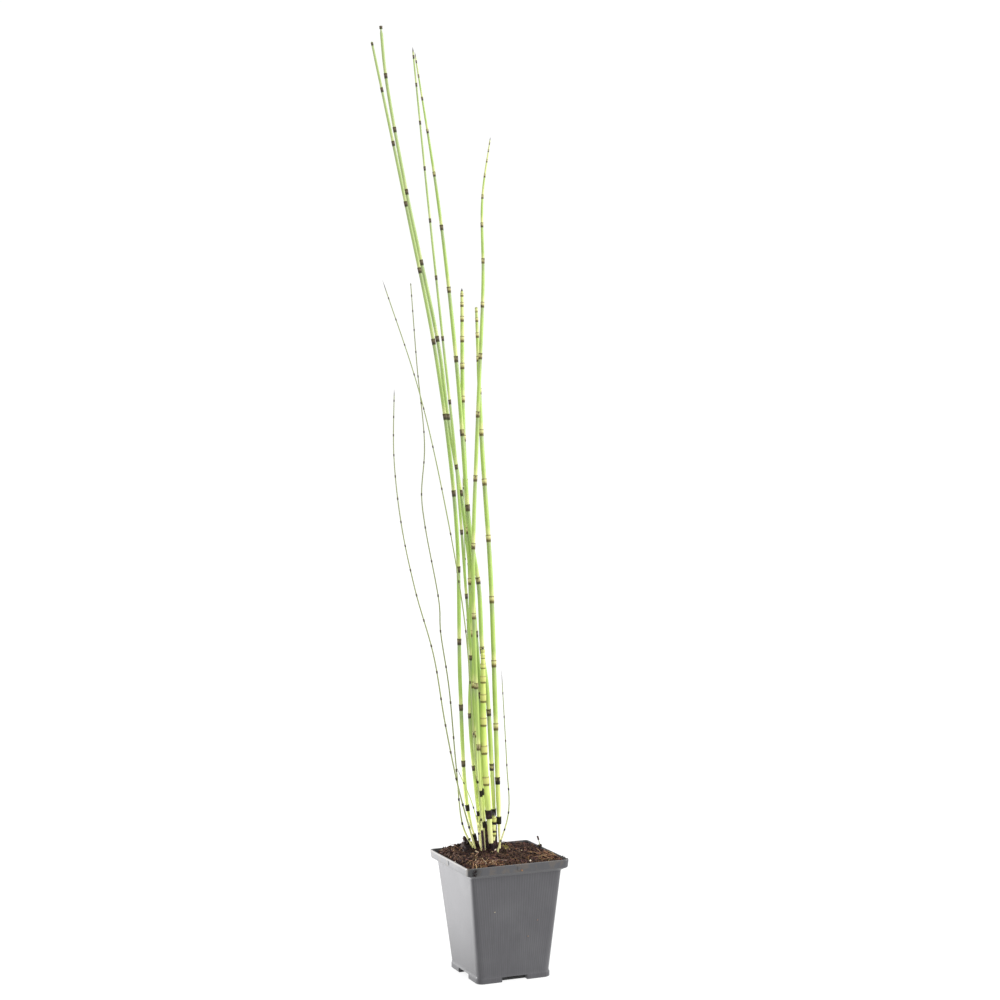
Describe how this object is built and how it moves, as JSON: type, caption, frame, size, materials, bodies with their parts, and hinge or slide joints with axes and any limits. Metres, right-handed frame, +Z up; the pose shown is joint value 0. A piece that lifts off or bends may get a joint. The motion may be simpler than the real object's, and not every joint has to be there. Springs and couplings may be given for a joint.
{
  "type": "horsetail plant in a square nursery pot",
  "caption": "Tall leafless jointed green stems of scouring-rush horsetail leaning from a peat mound in a tapered square plastic nursery pot.",
  "frame": {"origin": "centre of the pot's flat underside, on the surface that the pot stands on", "axes": "+Z up along the pot's axis; the pot's four walls face along X and Y; the tall stems lean towards -X"},
  "size_m": [0.1348, 0.1226, 0.8081],
  "materials": {
    "pot_plastic": "semi-matt dark grey, finely ribbed",
    "peat": "moist and crumbly",
    "stem_green": "satin, finely ridged",
    "shoot_yellow": "satin, finely ridged",
    "dead_brown": "dull and fibrous"
  },
  "bodies": {
    "root": {"pot": "pot_plastic", "soil": "peat", "stem_a": "stem_green", "stem_b": "stem_green", "stem_c": "stem_green", "stem_d": "stem_green", "stem_e": "stem_green", "stem_f": "stem_green", "stem_g": "stem_green", "stem_h": "stem_green", "stem_i": "stem_green", "stem_j": "stem_green", "stem_n": "stem_green", "wisp_p": "stem_green", "wisp_q": "stem_green", "shoot_l": "shoot_yellow", "shoot_o": "shoot_yellow", "stub_s": "dead_brown", "sprout_w": "stem_green"}
  },
  "joints": []
}
